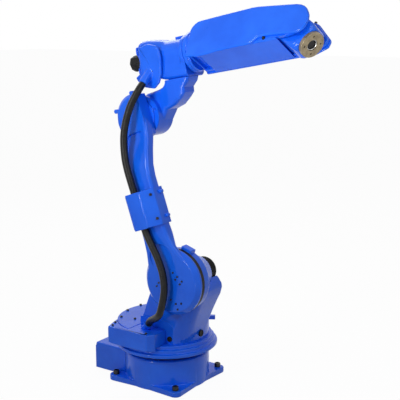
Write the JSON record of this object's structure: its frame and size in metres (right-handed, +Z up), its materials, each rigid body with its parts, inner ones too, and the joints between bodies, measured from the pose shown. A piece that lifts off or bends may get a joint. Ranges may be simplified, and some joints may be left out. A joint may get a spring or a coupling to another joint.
{
  "type": "industrial robot arm",
  "caption": "Articulated industrial robot arm with turntable base, slim lower arm, elbow, forked forearm and hollow wrist flange for picking, loading and assembly.",
  "frame": {"origin": "on the swivel axis at floor level, centre of the floor bolt pattern", "axes": "+Z up along the swivel axis, +X forward along the arm, +Y to the robot's left"},
  "size_m": [0.9395, 0.425, 1.4297],
  "materials": {
    "blue_paint": "gloss",
    "black_plastic": "matte",
    "steel": "satin",
    "bronze_flange": "satin",
    "hose_rubber": "satin"
  },
  "bodies": {
    "base": {"base_casting": "blue_paint", "bearing_ring": "black_plastic", "connector_box": "blue_paint", "power_socket": "black_plastic", "signal_socket": "black_plastic"},
    "swivel": {"turntable": "blue_paint", "swivel_casting": "blue_paint", "shoulder_housing": "blue_paint", "shoulder_boss": "black_plastic", "shoulder_motor": "black_plastic", "rear_housing": "blue_paint", "rear_cover": "blue_paint", "cable_box": "blue_paint", "cable_gland": "black_plastic", "hose_lower": "hose_rubber"},
    "lower_arm": {"lower_arm_casting": "blue_paint", "hose_cover": "blue_paint", "elbow_boss": "blue_paint", "hose_upper": "hose_rubber"},
    "elbow": {"elbow_casting": "blue_paint", "elbow_cap": "blue_paint", "roll_housing": "blue_paint", "rear_plate": "blue_paint", "rear_cap": "black_plastic", "hose_bracket": "blue_paint", "roll_ring": "steel"},
    "forearm": {"forearm_collar": "blue_paint", "forearm_casting": "blue_paint", "drive_cover_right": "blue_paint", "drive_cover_left": "blue_paint", "belly_cover": "blue_paint", "pivot_right": "steel", "pivot_left": "steel"},
    "wrist": {"wrist_housing": "blue_paint"},
    "flange": {"tool_flange": "bronze_flange"}
  },
  "joints": [
    {"name": "swivel_turn", "type": "hinge", "parent": "base", "child": "swivel", "pos_m": [0, 0, 0.13], "axis": [0, 0, 1], "range_deg": [-170, 170]},
    {"name": "lower_arm_tilt", "type": "hinge", "parent": "swivel", "child": "lower_arm", "pos_m": [0.155, 0, 0.45], "axis": [0, 1, 0], "range_deg": [-70.5, 174.5], "deforming": ["hose_lower"]},
    {"name": "elbow_tilt", "type": "hinge", "parent": "lower_arm", "child": "elbow", "pos_m": [-0.04996, 0, 1.02878], "axis": [0, -1, 0], "range_deg": [-75.85, 159.15], "deforming": ["hose_upper"]},
    {"name": "forearm_roll", "type": "hinge", "parent": "elbow", "child": "forearm", "pos_m": [-0.08589, 0, 1.22553], "axis": [0.9837, 0, 0.1797], "range_deg": [-168, 232]},
    {"name": "wrist_bend", "type": "hinge", "parent": "forearm", "child": "wrist", "pos_m": [0.5437, 0, 1.34051], "axis": [0.0952, 0.848, -0.5213], "range_deg": [-193.2, 1.8]},
    {"name": "flange_turn", "type": "hinge", "parent": "wrist", "child": "flange", "pos_m": [0.5437, 0, 1.34051], "axis": [0.8214, -0.3628, -0.4401], "range_deg": [-455, 455]}
  ]
}
